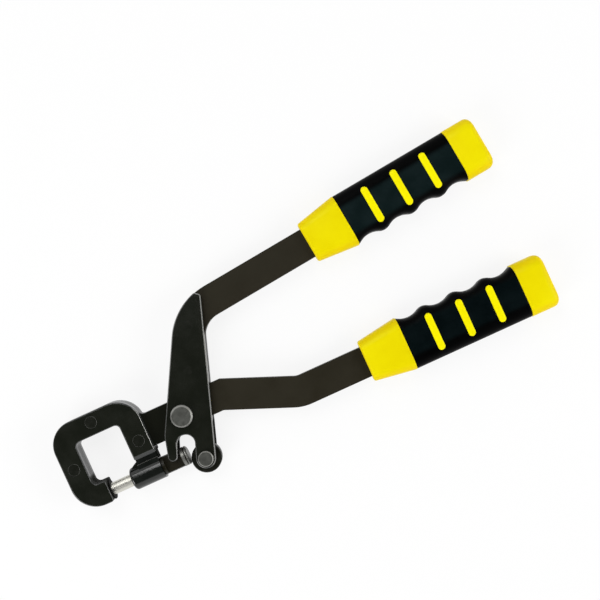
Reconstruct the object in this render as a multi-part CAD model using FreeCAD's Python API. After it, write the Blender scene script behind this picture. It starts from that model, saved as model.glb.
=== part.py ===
import FreeCAD, Part

import math
import os

# Two-handed metal stud crimper. The tool lies flat: z = 0 is the surface it lies on, the origin is on
# the pivot axis, +X runs along the punch towards the handles and +Y towards the moving handle.

# Stack of plates, mm, counted from the middle of the tool outwards.
GRIP_THICKNESS = 20.0
CORE_THICKNESS = 6.0
CHEEK_THICKNESS = 4.3
HEAD_PLATE_THICKNESS = 4.0
HEAD_PLATE_GAP = 0.3
HEAD_PLATE_BEVEL = 0.6
BAR_BEVEL = 0.3
CHEEK_ROUND = 0.9

# Clearances.
RUNNING_GAP = 0.05
SEAT_GAP = 0.02
CONTACT_GAP = 0.3

# C-shaped jaw.
JAW_RIGHT = -23.85
THROAT_WIDTH = 29.4
THROAT_TOP = 11.7
TOP_WALL = 14.1
BACK_WALL = 13.8
NEAR_WALL = 14.25
ARM_ABOVE_PUNCH = 7.5
ARM_BELOW_PUNCH = 6.5
JAW_CORNER_BACK = 15.5
JAW_CORNER_NEAR = 16.0
NECK_FILLET = 3.5
JAW_CORNER_LOW = 16.5
THROAT_CORNER = 3.2
CHEEK_END_Y = -13.3
CHEEK_END_BEVEL = 2.4
SADDLE_INSET = 1.8
SADDLE_RECESS_WIDTH = 3.1
SADDLE_RECESS_DEPTH = 1.2
SADDLE_EDGE_BEVEL = 0.3
JAW_RIVET_RADIUS = 3.9
RIVET_EDGE_BREAK = 0.35

# Punch line: guide barrel, plunger, punch and die on one axis.
PUNCH_Y = -24.0
PUNCH_RADIUS = 3.9
PUNCH_TIP_CONE = 0.8
PUNCH_IN_DIE = 2.6
JAW_GAP = 13.7
BARREL_BACK = -24.5
BARREL_LENGTH = 20.7
BARREL_WALL = 2.1
BARREL_ROUND = 1.8
BARREL_NOSE = 4.0
TONGUE_DEPTH = 0.8
TONGUE_FRONT = 2.4
TONGUE_SLOPE_RISE = 2.6
DIE_RADIUS = 6.4
DIE_FLANGE = 0.8
DIE_SPIGOT_RADIUS = 5.0
DIE_SPIGOT_LENGTH = 8.6
DIE_HOLE_DEPTH = 6.0
DIE_SCREW_RADIUS = 2.0
STEM_RADIUS = 5.0
SHOULDER_STEP = 0.8
HEAD_STEP = 0.2
HEAD_GROOVE_DEPTH = 0.6
HEAD_GROOVE_WIDTH = 0.8
HEAD_RIM_WIDTH = 1.4
HEAD_RIM_BEVEL = 0.8
PUNCH_SEAT = 10.0
CROSS_PIN_RADIUS = 1.0

# Fork of the lever: prongs in front of the plunger head, roller behind it.
LEVER_OPENING = 30.0
TRAVEL_PER_DEGREE = 0.4633
PRONG_X = -15.5
PRONG_ABOVE_PUNCH = 3.4
PRONG_RADIUS = 3.0
PRONG_OUTER_LEAN = 15.0
PRONG_BEND = 12.0
ARCH_X = -4.8
ARCH_Y = -16.7
ARCH_RADIUS = 5.6
LEG_OUTER_LEAN = 19.0
LEG_RADIUS = 6.1
ROLLER_X = 2.75
ROLLER_BELOW_PUNCH = 6.1
ROLLER_RADIUS = 9.5
ROLLER_EDGE = 0.6
BUSH_RADIUS = 4.6
ROLLER_PIN_RADIUS = 3.0
ROLLER_PIN_HEAD_RADIUS = 4.75
ROLLER_PIN_HEAD_INSET = 0.7

# Pivot.
PIVOT_RADIUS = 5.0
PIVOT_HEAD_RADIUS = 6.9
PIVOT_HEAD_BEVEL = 1.0
WASHER_RADIUS = 9.0
WASHER_THICKNESS = 0.25

# Frame plate to the right of the jaw: neck, slope and straight bar for the lower grip.
NECK_TOP = 11.1
NECK_BOTTOM_FRONT = -10.1
NECK_BOTTOM_BACK = -7.8
SLOPE_START_X = 29.6
SLOPE_ANGLE = -22.4
BAR_WIDTH = 19.4
BAR_IN_GRIP = 100.0
LOWER_BEND_RADIUS = 30.0
LOWER_BEND_INNER_RADIUS = 8.0
BAR_SOFT_CORNER = 2.0

# Lever above the pivot: head and bent bar for the upper grip.
HEAD_FRONT_Y = 20.4
HEAD_FRONT_LEAN = 28.6
UPPER_BAR_ANGLE = 6.0
HEAD_LENGTH = 101.3
HEAD_TIP_LEAN = 38.0
HEAD_TIP_RADIUS = 1.8
OUTER_BEND_RADIUS = 40.0
INNER_BEND_RADIUS = 15.0
HEAD_RIVET_RADIUS = 3.0

# Grips, both the same.
LOWER_GRIP_X = 117.5
LOWER_GRIP_Y = -17.1
UPPER_GRIP_X = 115.2
UPPER_GRIP_Y = 65.2
GRIP_LENGTH = 125.2
GRIP_WIDTH = 34.8
GRIP_EDGE_RADIUS = 7.5
FERRULE_LENGTH = 27.4
FERRULE_FRONT_WIDTH = 26.6
FERRULE_FRONT_THICKNESS = 15.0
FERRULE_FRONT_RADIUS = 5.5
CAP_LENGTH = 19.3
CAP_END_RADIUS = 4.5
SLEEVE_RECESS = 0.3
SLEEVE_WALL = 3.4
CREST_OVERHANG = 1.9
RIBS = 3
TROUGH_DEPTH = 2.75
TROUGH_RADIUS = 13.5
STRIPE_LENGTH = 24.4
STRIPE_WIDTH = 4.5

# Worked out from the sizes above.
MID_Z = GRIP_THICKNESS / 2
CORE_FACE = CORE_THICKNESS / 2
CHEEK_FACE = CORE_FACE + CHEEK_THICKNESS
HEAD_INNER = CORE_FACE + HEAD_PLATE_GAP
HEAD_OUTER = HEAD_INNER + HEAD_PLATE_THICKNESS
SADDLE_FACE = CHEEK_FACE - SADDLE_INSET
THROAT_RIGHT = JAW_RIGHT - NEAR_WALL
THROAT_LEFT = THROAT_RIGHT - THROAT_WIDTH
JAW_LEFT = THROAT_LEFT - BACK_WALL
JAW_TOP = THROAT_TOP + TOP_WALL
ARM_TOP = PUNCH_Y + ARM_ABOVE_PUNCH
JAW_BOTTOM = PUNCH_Y - ARM_BELOW_PUNCH
BARREL_FRONT = BARREL_BACK - BARREL_LENGTH
BARREL_RADIUS = STEM_RADIUS + BARREL_WALL
BARREL_TOP = PUNCH_Y + BARREL_RADIUS
DIE_FACE = BARREL_FRONT - JAW_GAP
ARM_END = DIE_FACE - DIE_FLANGE
ROLLER_Y = PUNCH_Y - ROLLER_BELOW_PUNCH
PRONG_Y = PUNCH_Y + PRONG_ABOVE_PUNCH
PLUNGER_TRAVEL = LEVER_OPENING * TRAVEL_PER_DEGREE
SHOULDER_RADIUS = STEM_RADIUS + SHOULDER_STEP
HEAD_RADIUS = SHOULDER_RADIUS + HEAD_STEP
PLUNGER_HEAD_BACK = ROLLER_X - ROLLER_RADIUS - CONTACT_GAP
STEM_FRONT = BARREL_FRONT + BARREL_NOSE + CONTACT_GAP
PUNCH_TIP = DIE_FACE - PUNCH_IN_DIE
DIE_SCREW_X = ARM_END - DIE_SPIGOT_LENGTH / 2
SLEEVE_LENGTH = GRIP_LENGTH - FERRULE_LENGTH - CAP_LENGTH
CREST_PITCH = (SLEEVE_LENGTH + 2 * CREST_OVERHANG) / (RIBS + 1)
FIRST_CREST = FERRULE_LENGTH - CREST_OVERHANG + CREST_PITCH
THROUGH = 60.0


def at(x, y, z=0.0):
    return FreeCAD.Vector(x, y, z)


def heading(degrees):
    angle = math.radians(degrees)
    return at(math.cos(angle), math.sin(angle))


def line(x, y, degrees):
    """A straight line through (x, y), heading that many degrees from +X."""
    return at(x, y), heading(degrees)


def right_of(ruled, distance):
    """The same line moved to its right-hand side."""
    start, way = ruled
    return start + at(way.y, -way.x) * distance, way


def meet(first, second):
    """The point where two lines cross, as (x, y)."""
    (start, way), (other, other_way) = first, second
    across = way.cross(other_way).z
    along = (other - start).cross(other_way).z / across
    crossing = start + way * along
    return crossing.x, crossing.y


def swung(ruled, degrees):
    """The same line after the lever has opened by that many degrees about the pivot."""
    start, way = ruled
    turn = FreeCAD.Rotation(at(0, 0, 1), degrees)
    return turn.multVec(start), turn.multVec(way)


def between(low, low_radius, high, high_radius, side):
    """The line heading up between two circles, with the lower one on its right if side is 1, else left."""
    apart = high - low
    swing = math.degrees(math.acos((low_radius + high_radius) / apart.Length))
    normal = math.degrees(math.atan2(apart.y, apart.x)) + side * swing
    touch = low + heading(normal) * low_radius
    return touch, heading(normal - side * 90)


def rounded_wire(corners):
    """A closed wire through corners (x, y, radius), each rounded by a tangent arc of its radius."""
    entries, exits, arcs = [], [], []
    for index, (x, y, radius) in enumerate(corners):
        before = at(*corners[index - 1][:2])
        after = at(*corners[(index + 1) % len(corners)][:2])
        corner = at(x, y)
        way_in = (corner - before).normalize()
        way_out = (after - corner).normalize()
        half_turn = way_in.getAngle(way_out) / 2
        reach = radius * math.tan(half_turn)
        entries.append(corner - way_in * reach)
        exits.append(corner + way_out * reach)
        if radius > 0:
            inward = (way_out - way_in).normalize()
            crown = corner + inward * (radius / math.cos(half_turn) - radius)
            arcs.append(Part.Arc(entries[-1], crown, exits[-1]).toShape())
        else:
            arcs.append(None)
    edges = []
    for index, arc in enumerate(arcs):
        if arc:
            edges.append(arc)
        start, end = exits[index], entries[(index + 1) % len(corners)]
        if start.distanceToPoint(end) > 1e-6:
            edges.append(Part.LineSegment(start, end).toShape())
    return Part.Wire(edges)


def slab(wire, low, high):
    """A flat outline made solid between two heights counted from the middle of the tool."""
    face = Part.Face(wire)
    face.translate(at(0, 0, MID_Z + low))
    return face.extrude(at(0, 0, high - low))


def block(x_range, y_range, half_thickness):
    """A box about the middle plane."""
    corner = at(x_range[0], y_range[0], MID_Z - half_thickness)
    return Part.makeBox(x_range[1] - x_range[0], y_range[1] - y_range[0], 2 * half_thickness, corner)


def upright(x, y, radius, half_height):
    """A cylinder parallel to the pivot, centred on the middle plane."""
    return Part.makeCylinder(radius, 2 * half_height, at(x, y, MID_Z - half_height), at(0, 0, 1))


def punch_line_rod(radius, x_range):
    """A cylinder on the punch axis."""
    return Part.makeCylinder(radius, x_range[1] - x_range[0], at(x_range[0], PUNCH_Y, MID_Z), at(1, 0, 0))


def turned_on_punch_line(profile):
    """A turned piece from (x, radius) points, closed along the punch axis."""
    ends = [(profile[-1][0], 0.0), (profile[0][0], 0.0)]
    points = [at(x, PUNCH_Y + radius, MID_Z) for x, radius in profile + ends]
    face = Part.Face(Part.makePolygon(points + points[:1]))
    return face.revolve(at(0, PUNCH_Y, MID_Z), at(1, 0, 0), 360)


def prism_along_x(corners, ends):
    """A prism with (y, height) corners that runs between two x values."""
    points = [at(ends[0], y, MID_Z + height) for y, height in corners]
    return Part.Face(Part.makePolygon(points + points[:1])).extrude(at(ends[1] - ends[0], 0, 0))


def other_side(solid):
    """The matching piece on the rear side of the tool."""
    return solid.mirror(at(0, 0, MID_Z), at(0, 0, 1))


def outline_edges(solid, heights):
    """The outline edges that lie at these heights, without full circles."""
    levels = [MID_Z + height for height in heights]
    picked = []
    for edge in solid.Edges:
        flat = any(all(abs(v.Z - level) < 1e-6 for v in edge.Vertexes) for level in levels)
        if flat and not edge.isClosed():
            picked.append(edge)
    return picked


def button(x, y, radius, low, high, bevel):
    """A round rivet head or rivet end between two heights, bevelled at its upper rim."""
    height = high - low
    head = Part.makeCylinder(radius, height - bevel, at(x, y, MID_Z + low), at(0, 0, 1))
    rim = Part.makeCone(radius, radius - bevel, bevel, at(x, y, MID_Z + high - bevel), at(0, 0, 1))
    return head.fuse(rim).removeSplitter()


def two_headed(x, y, shank_radius, head_radius, seat, top, bevel):
    """A rivet through the middle plane with a head from seat to top on each side."""
    head = button(x, y, head_radius, seat, top, bevel)
    return upright(x, y, shank_radius, seat).multiFuse([head, other_side(head)]).removeSplitter()


# ---- Jaw ----

def jaw_back_corners():
    """Corners shared by the core plate and the cheeks, from the throat's top right round to the top."""
    return [
        (THROAT_RIGHT, THROAT_TOP, THROAT_CORNER),
        (THROAT_LEFT, THROAT_TOP, THROAT_CORNER),
        (THROAT_LEFT, ARM_TOP, THROAT_CORNER),
        (ARM_END, ARM_TOP, 1.0),
        (ARM_END, JAW_BOTTOM, 1.6),
        (JAW_LEFT, JAW_BOTTOM, JAW_CORNER_LOW),
        (JAW_LEFT, JAW_TOP, JAW_CORNER_BACK),
        (JAW_RIGHT, JAW_TOP, JAW_CORNER_NEAR),
    ]


def jaw_rivet_places():
    """Middle of the jaw's top, back and near walls."""
    top = ((THROAT_LEFT + THROAT_RIGHT) / 2, THROAT_TOP + TOP_WALL / 2 + 0.9)
    back = (THROAT_LEFT - BACK_WALL / 2, -2.9)
    near = (THROAT_RIGHT + NEAR_WALL / 2 + 0.4, -2.9)
    return [top, back, near]


def drill_jaw(plate):
    """Rivet holes, the die's bore and its screw hole."""
    holes = [upright(x, y, JAW_RIVET_RADIUS + SEAT_GAP, THROUGH) for x, y in jaw_rivet_places()]
    holes.append(punch_line_rod(DIE_SPIGOT_RADIUS + SEAT_GAP, (ARM_END - DIE_SPIGOT_LENGTH, ARM_END + 1)))
    holes.append(die_screw_rod(DIE_SCREW_RADIUS + SEAT_GAP, JAW_BOTTOM - 1, PUNCH_Y))
    return plate.cut(Part.makeCompound(holes))


def die_screw_rod(radius, low_y, high_y):
    """A cylinder up through the free arm's underside, at the middle of the die's spigot."""
    return Part.makeCylinder(radius, high_y - low_y, at(DIE_SCREW_X, low_y, MID_Z), at(0, 1, 0))


def frame_bar_wire():
    """Neck through the pivot, slope and handle bar, from inside the jaw's near wall to inside the grip."""
    slope_top = line(SLOPE_START_X, NECK_TOP, SLOPE_ANGLE)
    slope_bottom = right_of(slope_top, BAR_WIDTH)
    bar_top = line(LOWER_GRIP_X, LOWER_GRIP_Y + BAR_WIDTH / 2, 0)
    bar_bottom = right_of(bar_top, BAR_WIDTH)
    bar_end = LOWER_GRIP_X + BAR_IN_GRIP
    root = JAW_RIGHT - NEAR_WALL / 2
    return rounded_wire([
        (root, NECK_TOP, 0),
        (SLOPE_START_X, NECK_TOP, BAR_SOFT_CORNER),
        (*meet(slope_top, bar_top), LOWER_BEND_INNER_RADIUS),
        (bar_end, bar_top[0].y, BAR_SOFT_CORNER),
        (bar_end, bar_bottom[0].y, BAR_SOFT_CORNER),
        (*meet(slope_bottom, bar_bottom), LOWER_BEND_RADIUS),
        (*meet(slope_bottom, line(0, NECK_BOTTOM_BACK, 0)), BAR_SOFT_CORNER),
        (PIVOT_RADIUS, NECK_BOTTOM_BACK, BAR_SOFT_CORNER),
        (-PIVOT_RADIUS, NECK_BOTTOM_FRONT, BAR_SOFT_CORNER),
        (root, NECK_BOTTOM_FRONT, 0),
    ])


def frame_plate():
    """The core plate: jaw core with a tongue for the barrel, and the bar, in one piece."""
    tongue_bottom = BARREL_TOP - TONGUE_DEPTH
    jaw_corners = jaw_back_corners() + [
        (JAW_RIGHT, tongue_bottom, 0),
        (BARREL_FRONT + TONGUE_FRONT, tongue_bottom, 0),
        (BARREL_FRONT + TONGUE_FRONT, BARREL_TOP, 0),
        (THROAT_RIGHT, BARREL_TOP + TONGUE_SLOPE_RISE, 1.5),
    ]
    jaw = slab(rounded_wire(jaw_corners), -CORE_FACE, CORE_FACE)
    bar = slab(frame_bar_wire(), -CORE_FACE, CORE_FACE)
    plate = jaw.fuse(bar).removeSplitter()
    neck_edge = [
        edge for edge in plate.Edges
        if all(abs(v.Y - NECK_TOP) < 1e-6 and abs(v.X - JAW_RIGHT) < 1 for v in edge.Vertexes)
    ]
    plate = plate.makeFillet(NECK_FILLET, neck_edge)
    plate = drill_jaw(plate.makeChamfer(BAR_BEVEL, outline_edges(plate, [-CORE_FACE, CORE_FACE])))
    return plate.cut(upright(0, 0, PIVOT_RADIUS + RUNNING_GAP, THROUGH))


def jaw_cheek():
    """The front cheek, doubled on to the core round the throat, with a bevelled end above the barrel."""
    corners = jaw_back_corners() + [
        (JAW_RIGHT, CHEEK_END_Y, CHEEK_ROUND + 0.1),
        (THROAT_RIGHT, CHEEK_END_Y, CHEEK_ROUND + 0.1),
    ]
    cheek = slab(rounded_wire(corners), CORE_FACE, CHEEK_FACE)
    cheek = cheek.makeFillet(CHEEK_ROUND, outline_edges(cheek, [CHEEK_FACE]))
    bevel_corners = [
        (CHEEK_END_Y - 1, SADDLE_FACE),
        (CHEEK_END_Y, SADDLE_FACE),
        (CHEEK_END_Y + CHEEK_END_BEVEL, CHEEK_FACE),
        (CHEEK_END_Y + CHEEK_END_BEVEL, CHEEK_FACE + 1),
        (CHEEK_END_Y - 1, CHEEK_FACE + 1),
    ]
    return drill_jaw(cheek.cut(prism_along_x(bevel_corners, (THROAT_RIGHT - 1, JAW_RIGHT + 1))))


def jaw_rivets():
    """Three rivets, flush with both cheeks, their ends bevelled."""
    solids = []
    for x, y in jaw_rivet_places():
        end = button(x, y, JAW_RIVET_RADIUS, 0, CHEEK_FACE, RIVET_EDGE_BREAK)
        solids.append(end.fuse(other_side(end)).removeSplitter())
    return Part.makeCompound(solids)


def saddle_recess():
    """Cutter for the recess across the saddle, from the cheek's end to a step with a bevelled edge."""
    step_y = CHEEK_END_Y - SADDLE_RECESS_WIDTH
    corners = [
        (step_y - SADDLE_EDGE_BEVEL - 1, SADDLE_FACE + 1),
        (step_y, SADDLE_FACE - SADDLE_EDGE_BEVEL),
        (step_y, SADDLE_FACE - SADDLE_RECESS_DEPTH),
        (CHEEK_END_Y + 1, SADDLE_FACE - SADDLE_RECESS_DEPTH),
        (CHEEK_END_Y + 1, SADDLE_FACE + 1),
    ]
    return prism_along_x(corners, (THROAT_RIGHT - 1, BARREL_BACK + 1))


def guide_barrel():
    """Barrel that guides the plunger. Its saddle and slot straddle the core plate's tongue."""
    barrel = turned_on_punch_line([(BARREL_FRONT, BARREL_RADIUS), (BARREL_BACK, BARREL_RADIUS)])
    rim = [edge for edge in barrel.Edges if edge.isClosed() and abs(edge.Vertexes[0].X - BARREL_FRONT) < 1e-6]
    barrel = barrel.makeFillet(BARREL_ROUND, rim)
    saddle = block((THROAT_RIGHT, BARREL_BACK), (PUNCH_Y, CHEEK_END_Y), SADDLE_FACE)
    recess = saddle_recess()
    body = barrel.fuse(saddle.cut([recess, other_side(recess)])).removeSplitter()
    slot_x = (BARREL_FRONT + TONGUE_FRONT, BARREL_BACK + 2)
    tongue_slot = block(slot_x, (BARREL_TOP - TONGUE_DEPTH, CHEEK_END_Y + 1), CORE_FACE)
    nose_bore = punch_line_rod(PUNCH_RADIUS + RUNNING_GAP, (BARREL_FRONT - 1, BARREL_BACK))
    stem_bore = punch_line_rod(STEM_RADIUS + RUNNING_GAP, (BARREL_FRONT + BARREL_NOSE, BARREL_BACK + 1))
    return body.cut(Part.makeCompound([tongue_slot, nose_bore, stem_bore]))


def die_button():
    """Die with a flange on the arm's end face and a spigot in the arm."""
    die = turned_on_punch_line([
        (ARM_END - DIE_SPIGOT_LENGTH, DIE_SPIGOT_RADIUS),
        (ARM_END, DIE_SPIGOT_RADIUS),
        (ARM_END, DIE_RADIUS),
        (DIE_FACE - 0.3, DIE_RADIUS),
        (DIE_FACE, DIE_RADIUS - 0.3),
    ])
    return die.cut(punch_line_rod(PUNCH_RADIUS + RUNNING_GAP, (DIE_FACE - DIE_HOLE_DEPTH, DIE_FACE + 1)))


def die_screw():
    """Grub screw that locks the die, with a hexagon socket, sunk just inside the arm's underside."""
    foot = JAW_BOTTOM + 0.3
    screw = die_screw_rod(DIE_SCREW_RADIUS, foot, PUNCH_Y - DIE_SPIGOT_RADIUS)
    socket_radius = DIE_SCREW_RADIUS * 0.6
    ring = [heading(60 * turn) * socket_radius for turn in range(7)]
    socket = Part.Face(Part.makePolygon([at(DIE_SCREW_X + p.x, foot, MID_Z + p.y) for p in ring]))
    return screw.cut(socket.extrude(at(0, 1.0, 0)))


# ---- Plunger ----

def flats_ends():
    """The flats start ahead of the prongs' swing and end at the head, just behind the closed prongs."""
    edges = lever_lines()
    shoulder_top = line(0, PUNCH_Y + math.sqrt(SHOULDER_RADIUS**2 - HEAD_INNER**2), 0)
    head_top = line(0, PUNCH_Y + math.sqrt(HEAD_RADIUS**2 - HEAD_INNER**2), 0)
    opened = meet(swung(edges["prong_outer"], LEVER_OPENING), shoulder_top)[0] - PLUNGER_TRAVEL
    closed = PRONG_X - PRONG_RADIUS
    front = min(opened, closed) - 2 * CONTACT_GAP
    return front, meet(edges["prong_inner"], head_top)[0] + CONTACT_GAP


def plunger():
    """Stem in the barrel, shoulder, flats that the prongs straddle, and a head with a turned groove."""
    flats_front, head_front = flats_ends()
    groove_end = PLUNGER_HEAD_BACK - HEAD_RIM_WIDTH
    groove_start = groove_end - HEAD_GROOVE_WIDTH
    body = turned_on_punch_line([
        (STEM_FRONT, STEM_RADIUS),
        (BARREL_BACK + CONTACT_GAP, STEM_RADIUS),
        (BARREL_BACK + CONTACT_GAP, SHOULDER_RADIUS),
        (head_front, SHOULDER_RADIUS),
        (head_front, HEAD_RADIUS),
        (groove_start, HEAD_RADIUS),
        (groove_start, HEAD_RADIUS - HEAD_GROOVE_DEPTH),
        (groove_end, HEAD_RADIUS - HEAD_GROOVE_DEPTH),
        (groove_end, HEAD_RADIUS),
        (PLUNGER_HEAD_BACK - HEAD_RIM_BEVEL, HEAD_RADIUS),
        (PLUNGER_HEAD_BACK, HEAD_RADIUS - HEAD_RIM_BEVEL),
    ])
    flats = block((flats_front, head_front), (PUNCH_Y - 10, PUNCH_Y + 10), 10)
    web = block((flats_front, head_front), (PUNCH_Y - 11, PUNCH_Y + 11), CORE_FACE)
    body = body.cut(flats.cut(web))
    seat = punch_line_rod(PUNCH_RADIUS + SEAT_GAP, (STEM_FRONT - 1, STEM_FRONT + PUNCH_SEAT))
    cross = upright(STEM_FRONT + PUNCH_SEAT / 2, PUNCH_Y, CROSS_PIN_RADIUS + SEAT_GAP, THROUGH)
    return body.cut(Part.makeCompound([seat, cross]))


def punch():
    """Hardened punch, seated in the plunger's stem and coned at its tip."""
    body = turned_on_punch_line([
        (PUNCH_TIP, PUNCH_RADIUS - PUNCH_TIP_CONE),
        (PUNCH_TIP + PUNCH_TIP_CONE, PUNCH_RADIUS),
        (STEM_FRONT + PUNCH_SEAT, PUNCH_RADIUS),
    ])
    return body.cut(upright(STEM_FRONT + PUNCH_SEAT / 2, PUNCH_Y, CROSS_PIN_RADIUS + SEAT_GAP, THROUGH))


def punch_cross_pin():
    """Pin that locks the punch in the stem, short enough to slide inside the barrel."""
    half = math.sqrt(STEM_RADIUS**2 - CROSS_PIN_RADIUS**2)
    return upright(STEM_FRONT + PUNCH_SEAT / 2, PUNCH_Y, CROSS_PIN_RADIUS, half)


# ---- Lever ----

def lever_lines():
    """The straight edges of the lever's outline, by name."""
    leg, prong, arch = at(ROLLER_X, ROLLER_Y), at(PRONG_X, PRONG_Y), at(ARCH_X, ARCH_Y)
    bar_axis = line(UPPER_GRIP_X, UPPER_GRIP_Y, UPPER_BAR_ANGLE)
    bar_end = heading(UPPER_BAR_ANGLE) * BAR_IN_GRIP
    return {
        "leg_outer": right_of(line(ROLLER_X, ROLLER_Y, 90 - LEG_OUTER_LEAN), LEG_RADIUS),
        "leg_foot": right_of(line(ROLLER_X, ROLLER_Y, -LEG_OUTER_LEAN), LEG_RADIUS),
        "leg_inner": between(leg, LEG_RADIUS, arch, ARCH_RADIUS, 1),
        "arch_top": line(ARCH_X, ARCH_Y + ARCH_RADIUS, 0),
        "prong_inner": between(prong, PRONG_RADIUS, arch, ARCH_RADIUS, -1),
        "prong_foot": right_of(line(PRONG_X, PRONG_Y, -PRONG_OUTER_LEAN), PRONG_RADIUS),
        "prong_outer": right_of(line(PRONG_X, PRONG_Y, 90 - PRONG_OUTER_LEAN), -PRONG_RADIUS),
        "head_front": line(0, HEAD_FRONT_Y, 90 - HEAD_FRONT_LEAN),
        "bar_top": right_of(bar_axis, -BAR_WIDTH / 2),
        "bar_end": (bar_axis[0] + bar_end, heading(UPPER_BAR_ANGLE + 90)),
        "bar_bottom": right_of(bar_axis, BAR_WIDTH / 2),
    }


def lever_outline():
    """Outline shared by both head plates and the lever bar."""
    edges = lever_lines()
    turns = [
        ("leg_outer", "leg_foot", LEG_RADIUS),
        ("leg_foot", "leg_inner", LEG_RADIUS),
        ("leg_inner", "arch_top", ARCH_RADIUS),
        ("arch_top", "prong_inner", ARCH_RADIUS),
        ("prong_inner", "prong_foot", PRONG_RADIUS),
        ("prong_foot", "prong_outer", PRONG_RADIUS),
        ("prong_outer", "head_front", PRONG_BEND),
        ("head_front", "bar_top", OUTER_BEND_RADIUS),
        ("bar_top", "bar_end", BAR_SOFT_CORNER),
        ("bar_end", "bar_bottom", BAR_SOFT_CORNER),
        ("bar_bottom", "leg_outer", INNER_BEND_RADIUS),
    ]
    return rounded_wire([(*meet(edges[one], edges[two]), radius) for one, two, radius in turns])


def half_plane(edge, low, high):
    """A large slab on the left-hand side of a line."""
    start, way = edge
    size = 400.0
    left = at(-way.y, way.x)
    near, far = start - way * size, start + way * size
    return slab(Part.makePolygon([near, far, far + left * size, near + left * size, near]), low, high)


def head_rivet_places():
    """Two places on the head plates' middle line, over the lever bar."""
    middle = line(6.0, 4.0, 90 - (HEAD_FRONT_LEAN + LEG_OUTER_LEAN) / 2)
    return [tuple(middle[0] + middle[1] * reach)[:2] for reach in (22.0, 50.0)]


def head_plate():
    """The front head plate: prong, leg and pivot hole, with a straight back edge up to a blunt tip."""
    back_edge = lever_lines()["leg_outer"]
    tip = back_edge[0] + back_edge[1] * HEAD_LENGTH
    plate = slab(lever_outline(), HEAD_INNER, HEAD_OUTER)
    for limit in (back_edge, line(tip.x, tip.y, 180 - HEAD_TIP_LEAN)):
        plate = plate.common(half_plane(limit, HEAD_INNER, HEAD_OUTER))
    tip_corners = [
        edge for edge in plate.Edges
        if abs(edge.tangentAt(edge.FirstParameter).z) > 0.9 and edge.Vertexes[0].Y > tip.y - 1
    ]
    plate = plate.makeFillet(HEAD_TIP_RADIUS, tip_corners)
    plate = plate.makeChamfer(HEAD_PLATE_BEVEL, outline_edges(plate, [HEAD_OUTER]))
    holes = [upright(x, y, HEAD_RIVET_RADIUS + SEAT_GAP, THROUGH) for x, y in head_rivet_places()]
    holes.append(upright(0, 0, PIVOT_RADIUS + SEAT_GAP, THROUGH))
    holes.append(upright(ROLLER_X, ROLLER_Y, ROLLER_PIN_RADIUS + SEAT_GAP, THROUGH))
    return plate.cut(Part.makeCompound(holes))


def lever_bar():
    """The bar between the head plates. Its lower end stops the lever on the neck when fully open."""
    stop_level = NECK_TOP + CONTACT_GAP
    closed_limit = line(0, stop_level, 0)
    open_way = heading(-LEVER_OPENING)
    open_limit = (at(-open_way.y, open_way.x) * stop_level, open_way)
    bar = slab(lever_outline(), -HEAD_INNER, HEAD_INNER)
    for limit in (closed_limit, open_limit):
        bar = bar.common(half_plane(limit, -HEAD_INNER, HEAD_INNER))
    bar = bar.makeChamfer(BAR_BEVEL, outline_edges(bar, [-HEAD_INNER, HEAD_INNER]))
    holes = [upright(x, y, HEAD_RIVET_RADIUS + SEAT_GAP, THROUGH) for x, y in head_rivet_places()]
    return bar.cut(Part.makeCompound(holes))


def head_rivets():
    """Two flush rivets that join the head plates to the lever bar."""
    return Part.makeCompound([upright(x, y, HEAD_RIVET_RADIUS, HEAD_OUTER) for x, y in head_rivet_places()])


def pivot_washers():
    """Thin washers between the core plate and each head plate."""
    washer = Part.makeCylinder(
        WASHER_RADIUS, WASHER_THICKNESS, at(0, 0, MID_Z + HEAD_INNER - WASHER_THICKNESS), at(0, 0, 1)
    )
    washer = washer.cut(upright(0, 0, PIVOT_RADIUS + SEAT_GAP, THROUGH))
    return Part.makeCompound([washer, other_side(washer)])


def pivot_rivet():
    """Large rivet of the main joint. Its rear head lies on the bench with the grips."""
    return two_headed(0, 0, PIVOT_RADIUS, PIVOT_HEAD_RADIUS, HEAD_OUTER, MID_Z, PIVOT_HEAD_BEVEL)


def roller_pin():
    """Headed pin that carries the roller between the two legs."""
    top = MID_Z - ROLLER_PIN_HEAD_INSET
    return two_headed(ROLLER_X, ROLLER_Y, ROLLER_PIN_RADIUS, ROLLER_PIN_HEAD_RADIUS, HEAD_OUTER, top, 0.5)


def roller():
    """Roller that pushes the plunger head, with eased rims."""
    half = button(ROLLER_X, ROLLER_Y, ROLLER_RADIUS, 0, CORE_FACE, ROLLER_EDGE)
    disc = half.fuse(other_side(half)).removeSplitter()
    return disc.cut(upright(ROLLER_X, ROLLER_Y, BUSH_RADIUS + SEAT_GAP, THROUGH))


def roller_bush():
    """Bush in the roller that turns on the pin."""
    bush = upright(ROLLER_X, ROLLER_Y, BUSH_RADIUS, CORE_FACE + HEAD_PLATE_GAP / 2)
    return bush.cut(upright(ROLLER_X, ROLLER_Y, ROLLER_PIN_RADIUS + RUNNING_GAP, THROUGH))


# ---- Grips, drawn from (0, 0, 0) along +X with the finger side at +Y ----

def grip_section(x, width, thickness, radius):
    """A rounded rectangle across the grip."""
    half_width, half_thickness = width / 2, thickness / 2
    wire = rounded_wire([
        (half_width, half_thickness, radius),
        (-half_width, half_thickness, radius),
        (-half_width, -half_thickness, radius),
        (half_width, -half_thickness, radius),
    ])
    across = FreeCAD.Rotation(at(0, 1, 0), at(0, 0, 1), at(1, 0, 0), "ZXY")
    wire.Placement = FreeCAD.Placement(at(x, 0, 0), across)
    return wire


def grip_length(x, length, width, thickness, radius):
    return Part.Face(grip_section(x, width, thickness, radius)).extrude(at(length, 0, 0))


def crest_places():
    return [FIRST_CREST + CREST_PITCH * index for index in range(RIBS)]


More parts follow.
